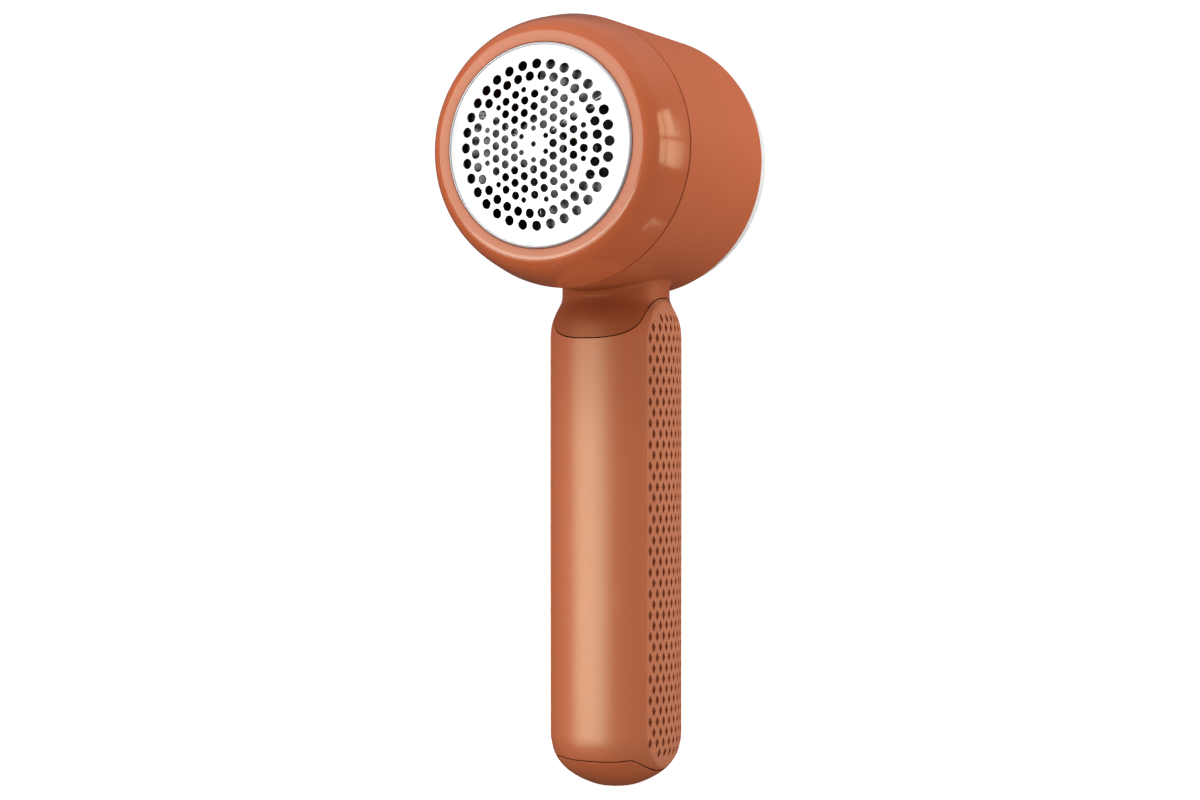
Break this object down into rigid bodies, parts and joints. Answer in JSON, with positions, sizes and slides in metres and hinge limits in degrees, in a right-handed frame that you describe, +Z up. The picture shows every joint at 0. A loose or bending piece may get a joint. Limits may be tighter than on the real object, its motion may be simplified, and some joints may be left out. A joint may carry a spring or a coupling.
{
  "type": "fabric shaver",
  "caption": "Cordless fabric shaver: drum-shaped shaving head with a domed perforated foil over spinning blades, a lint container behind it and a round stick handle.",
  "frame": {"origin": "centre of the small flat at the handle's lower end", "axes": "+Z up along the handle's axis to the shaving head; the head's axis is parallel to Y and the foil faces -Y; +X is the side whose grip panel is to the right of the foil"},
  "size_m": [0.0662, 0.0694, 0.1898],
  "materials": {
    "ring_gloss": "high-gloss terracotta moulding",
    "body_satin": "satin terracotta moulding",
    "grip_rubber": "matte terracotta elastomer with moulded diamonds",
    "foil_steel": "polished perforated sheet",
    "rim_steel": "plated ring",
    "blade_steel": "ground cutting steel",
    "spring_steel": "drawn steel",
    "screw_steel": "zinc-plated",
    "can_steel": "nickel-plated drawn can",
    "socket_steel": "plated shell",
    "brass": "turned",
    "nickel": "nickel strip",
    "copper": "enamelled copper on steel laminations",
    "ferrite": "sintered ferrite",
    "dark_plastic": "moulded",
    "white_plastic": "moulded",
    "frosted_plastic": "frosted translucent",
    "light_lens": "translucent",
    "seal_rubber": "silicone",
    "circuit_board": "solder mask on glass-epoxy",
    "cell_wrap": "shrink sleeve over a steel can",
    "lead_red": "insulated wire",
    "lead_black": "insulated wire"
  },
  "bodies": {
    "body": {"motor_can": "can_steel", "front_bearing": "brass", "rear_bearing": "brass", "motor_end_bell": "dark_plastic", "magnet_left": "ferrite", "magnet_right": "ferrite", "brush_left": "copper", "brush_right": "copper", "terminal_left": "brass", "terminal_right": "brass", "motor_pod": "dark_plastic", "pod_cover": "white_plastic", "pod_screw_1": "screw_steel", "pod_screw_2": "screw_steel", "pod_screw_3": "screw_steel", "motor_screw_left": "screw_steel", "motor_screw_right": "screw_steel", "head_housing": "body_satin", "front_shell": "body_satin", "rear_shell": "body_satin", "grip_left": "grip_rubber", "grip_right": "grip_rubber", "neck_screw_left": "screw_steel", "neck_screw_right": "screw_steel", "cap_screw_left": "screw_steel", "cap_screw_right": "screw_steel", "end_cap": "body_satin", "battery_cell": "cell_wrap", "battery_cradle": "dark_plastic", "battery_tab_top": "nickel", "battery_tab_bottom": "nickel", "main_board": "circuit_board", "board_screw_1": "screw_steel", "board_screw_2": "screw_steel", "charging_socket": "socket_steel", "switch_body": "dark_plastic", "status_led": "white_plastic", "status_lens": "light_lens", "lead_positive": "lead_red", "lead_negative": "lead_black"},
    "foil_unit": {"foil_rim": "rim_steel", "foil": "foil_steel", "foil_retainer": "dark_plastic"},
    "ring": {"front_ring": "ring_gloss"},
    "rotor": {"motor_shaft": "spring_steel", "armature": "copper", "commutator": "copper", "drive_coupling": "brass", "blade_spring": "spring_steel"},
    "blade": {"blade_hub": "dark_plastic", "blade_plate": "blade_steel"},
    "container": {"lint_container": "frosted_plastic", "container_seal": "seal_rubber"},
    "power_switch": {"power_slider": "ring_gloss", "switch_lever": "white_plastic"}
  },
  "joints": [
    {"name": "rotor_spin", "type": "hinge", "parent": "body", "child": "rotor", "pos_m": [0, 0, 0.1567], "axis": [0, 1, 0], "continuous": true},
    {"name": "blade_float", "type": "slide", "parent": "rotor", "child": "blade", "axis": [0, 1, 0], "range_m": [0, 0.0008], "stiffness_N_per_m": 600, "springref_m": -0.001, "deforming": ["blade_spring"]},
    {"name": "foil_pull", "type": "slide", "parent": "body", "child": "foil_unit", "axis": [0, -1, 0], "range_m": [0, 0.02]},
    {"name": "ring_twist", "type": "hinge", "parent": "foil_unit", "child": "ring", "pos_m": [0, 0, 0.1567], "axis": [0, 1, 0], "range_deg": [0, 20]},
    {"name": "container_pull", "type": "slide", "parent": "body", "child": "container", "axis": [0, 1, 0], "range_m": [0, 0.035]},
    {"name": "power_slide", "type": "slide", "parent": "body", "child": "power_switch", "axis": [0, 0, 1], "range_m": [0, 0.005]}
  ]
}
